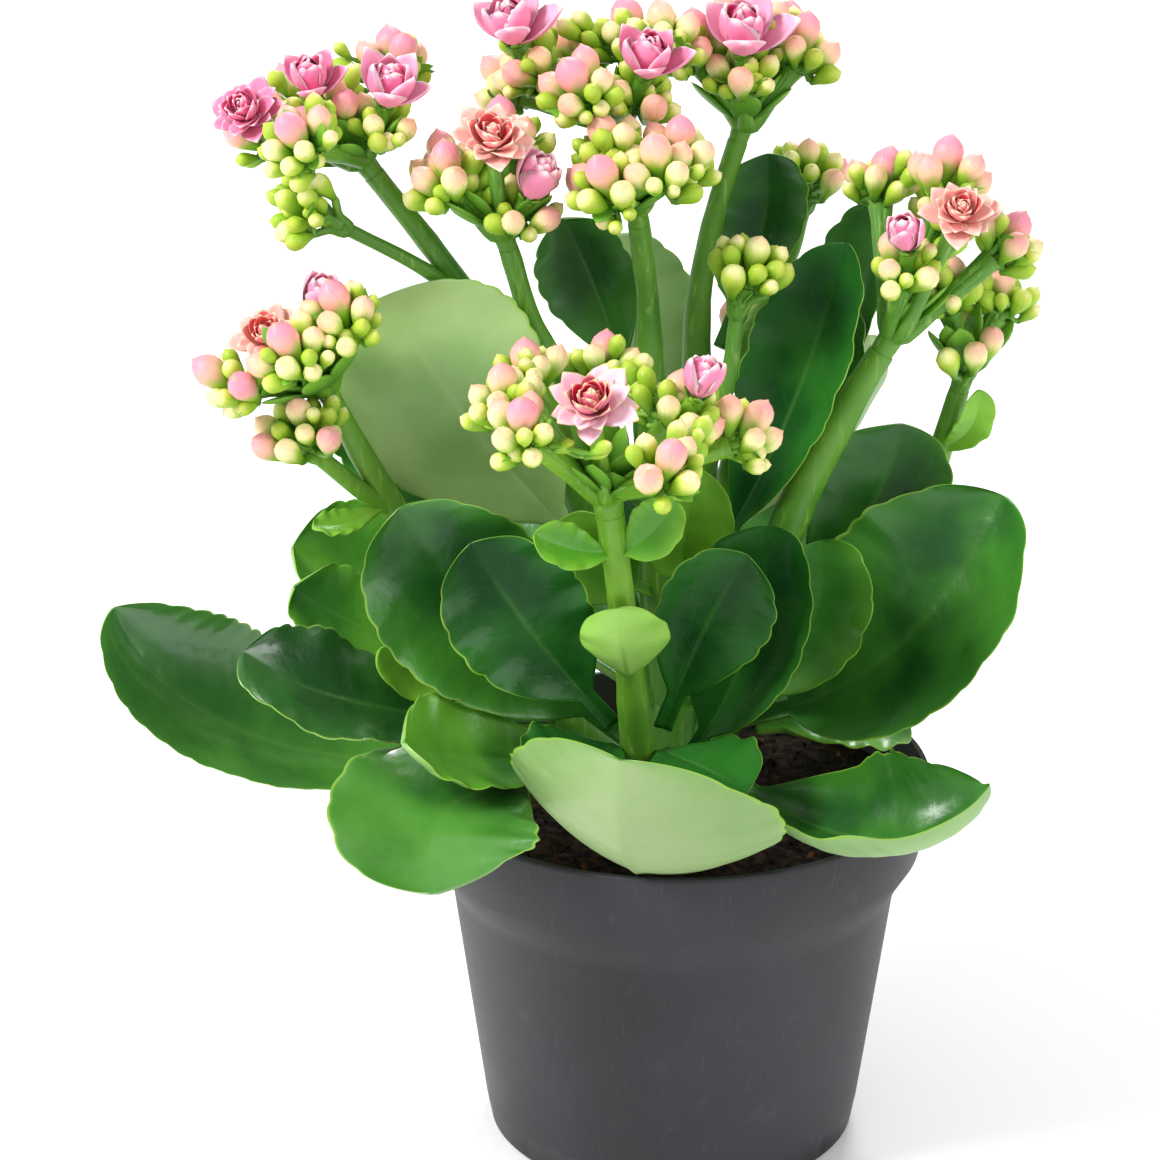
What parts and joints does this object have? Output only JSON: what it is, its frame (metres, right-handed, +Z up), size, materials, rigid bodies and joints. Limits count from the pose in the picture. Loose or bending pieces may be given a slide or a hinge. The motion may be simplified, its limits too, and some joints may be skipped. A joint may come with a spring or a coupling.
{
  "type": "potted kalanchoe",
  "caption": "Double-flowered succulent houseplant in a tapered nursery pot: toothed fleshy leaves, branched heads of buds and many-petalled blooms on upright stems.",
  "frame": {"origin": "the middle of the flat underside of the pot, on the surface that it stands on", "axes": "+Z up out of the pot, -Y towards the front of the plant, +X to the right seen from the front"},
  "size_m": [0.2117, 0.1641, 0.2704],
  "materials": {
    "pot": "matte dark grey thin moulded plastic",
    "soil": "damp dark potting soil with fibres and small bark",
    "stem": "smooth juicy green stem, lighter where young",
    "leaf": "waxy dark green leaf, pale beneath, with a yellow-green margin",
    "bud": "waxy yellow-green buds that turn cream and peach-pink as they swell",
    "petal": "soft matte petals, crimson to pale pink with cream edges"
  },
  "bodies": {
    "root": {"pot": "pot", "soil": "soil", "stems": "stem", "leaf_left_far": "leaf", "leaf_left_low": "leaf", "leaf_left_back": "leaf", "leaf_left_middle": "leaf", "leaf_front_left_large": "leaf", "leaf_front_left_inner": "leaf", "leaf_left_near": "leaf", "leaf_over_rim": "leaf", "leaf_front_raised": "leaf", "leaf_front_right": "leaf", "leaf_right_large": "leaf", "leaf_right_back": "leaf", "leaf_centre_large": "leaf", "leaf_centre_behind": "leaf", "leaf_centre_near": "leaf", "leaf_foot_left": "leaf", "leaf_foot_right": "leaf", "leaf_upper_left_large": "leaf", "leaf_upper_left_behind": "leaf", "leaf_upper_middle": "leaf", "leaf_upper_back": "leaf", "leaf_right_long": "leaf", "leaf_right_long_behind": "leaf", "leaf_right_low": "leaf", "leaf_right_pointed": "leaf", "leaf_back_left": "leaf", "leaf_back_middle": "leaf", "leaf_back_right": "leaf", "leaf_back_high": "leaf", "head_front": "bud", "bloom_front": "petal", "bloom_front_opening": "petal", "head_left": "bud", "bloom_left": "petal", "bloom_left_opening": "petal", "head_left_low": "bud", "head_tall_left": "bud", "bloom_tall_left": "petal", "bloom_tall_left_opening": "petal", "bloom_tall_left_young": "petal", "head_tall_left_low": "bud", "head_middle_left": "bud", "bloom_middle_left": "petal", "bloom_middle_left_opening": "petal", "head_middle": "bud", "head_top": "bud", "bloom_top_opening": "petal", "bloom_top_young": "petal", "head_tall_right": "bud", "bloom_tall_right": "petal", "head_small_middle": "bud", "head_small_back": "bud", "head_right": "bud", "bloom_right": "petal", "bloom_right_opening": "petal", "head_right_low": "bud", "head_back": "bud"}
  },
  "joints": []
}
